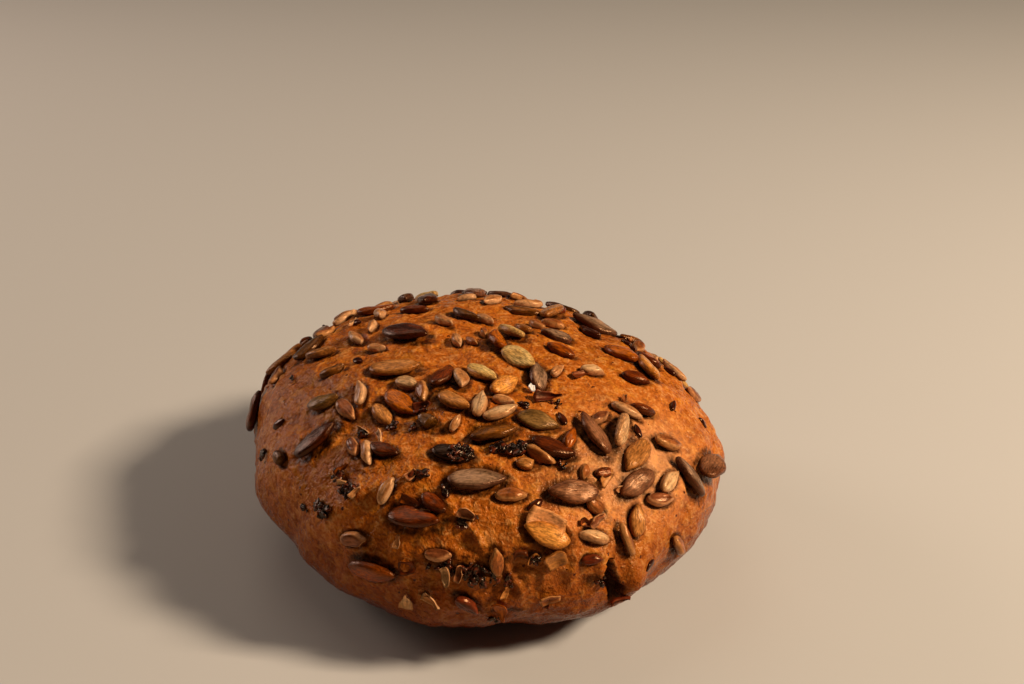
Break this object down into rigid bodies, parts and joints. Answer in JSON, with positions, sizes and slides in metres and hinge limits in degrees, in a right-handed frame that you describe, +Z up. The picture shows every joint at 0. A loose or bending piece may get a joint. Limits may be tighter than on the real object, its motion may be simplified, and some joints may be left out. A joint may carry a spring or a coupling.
{
  "type": "seeded bread roll",
  "caption": "Round domed bread roll with a browned crust, covered in flat pumpkin seeds and small kernels baked into the skin; flat underside.",
  "frame": {"origin": "middle of the flat underside, at the centre of the roll's plan box", "axes": "+Z up; the pictured side faces -Y; the roll's long plan direction lies nearest to Y"},
  "size_m": [0.1131, 0.1197, 0.0532],
  "materials": {
    "crust": "semi-gloss browned bread crust, finely wrinkled"
  },
  "bodies": {
    "root": {"seeded_roll": "crust"}
  },
  "joints": []
}
